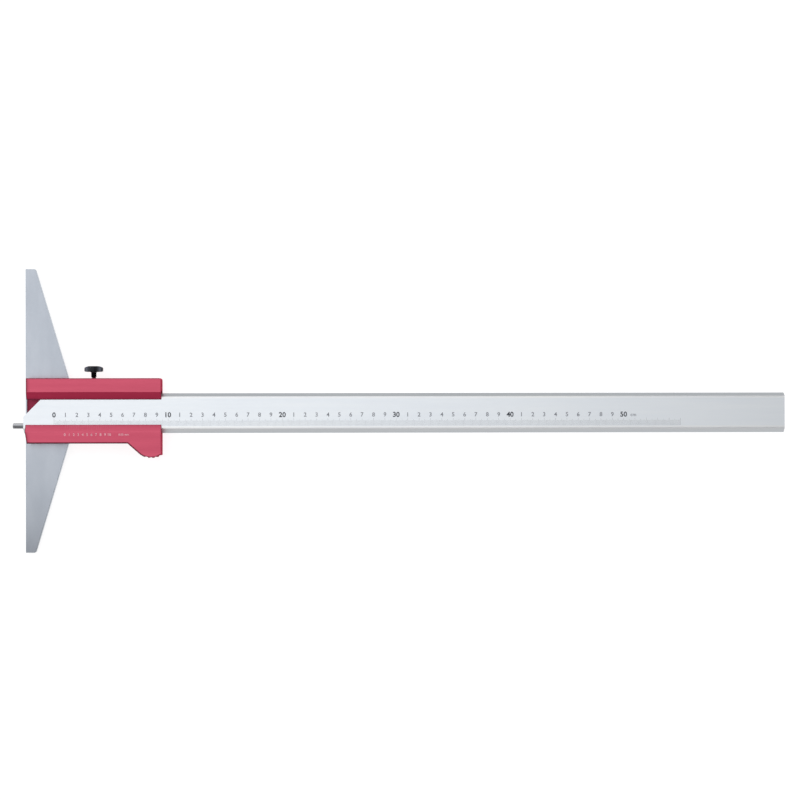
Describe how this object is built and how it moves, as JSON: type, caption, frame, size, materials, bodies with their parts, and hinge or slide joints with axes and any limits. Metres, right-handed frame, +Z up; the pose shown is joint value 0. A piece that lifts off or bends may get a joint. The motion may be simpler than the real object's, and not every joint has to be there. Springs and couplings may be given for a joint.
{
  "type": "depth caliper",
  "caption": "Depth caliper: a graduated bar with a measuring pin slides through a clamped slider on a long flat bridge and reads a depth on a vernier.",
  "frame": {"origin": "centre of the bridge's measuring face, halfway through the bridge's thickness", "axes": "+X along the beam, away from the work; +Y across the beam, along the bridge; +Z up, out of the graduated face"},
  "size_m": [0.6786, 0.25, 0.02],
  "materials": {
    "satin_aluminium": "satin anodised, fine matt",
    "red_anodised": "red anodised, matt",
    "ground_steel": "finely ground",
    "hardened_steel": "ground and hardened",
    "dark_steel": "blackened",
    "gib_brass": "machined",
    "black_plastic": "moulded, slightly glossy"
  },
  "bodies": {
    "slider": {"slider": "red_anodised", "bridge": "ground_steel", "bridge_screw_1": "dark_steel", "bridge_screw_2": "dark_steel", "bridge_screw_3": "dark_steel", "bridge_screw_4": "dark_steel", "bridge_dowel_1": "hardened_steel", "bridge_dowel_2": "hardened_steel", "gib_strip": "gib_brass", "gib_screw_1": "dark_steel", "gib_screw_2": "dark_steel"},
    "beam": {"beam": "satin_aluminium", "measuring_pin": "hardened_steel", "end_stop_screw": "hardened_steel"},
    "pressure_pad": {"pressure_pad": "gib_brass"},
    "lock_screw": {"lock_screw_stud": "dark_steel", "lock_screw_wing": "black_plastic"}
  },
  "joints": [
    {"name": "beam_slide", "type": "slide", "parent": "slider", "child": "beam", "axis": [-1, 0, 0], "range_m": [-0.01, 0.49]},
    {"name": "pad_slide", "type": "slide", "parent": "slider", "child": "pressure_pad", "axis": [0, 1, 0], "range_m": [0, 0.0007]},
    {"name": "lock_turn", "type": "hinge", "parent": "pressure_pad", "child": "lock_screw", "pos_m": [0.061, 0.0286, 0.01], "axis": [0, 1, 0], "range_deg": [0, 360]}
  ],
  "couplings": [
    {"joint": "lock_turn", "follows": "pad_slide", "rad_per_m": 8976}
  ]
}
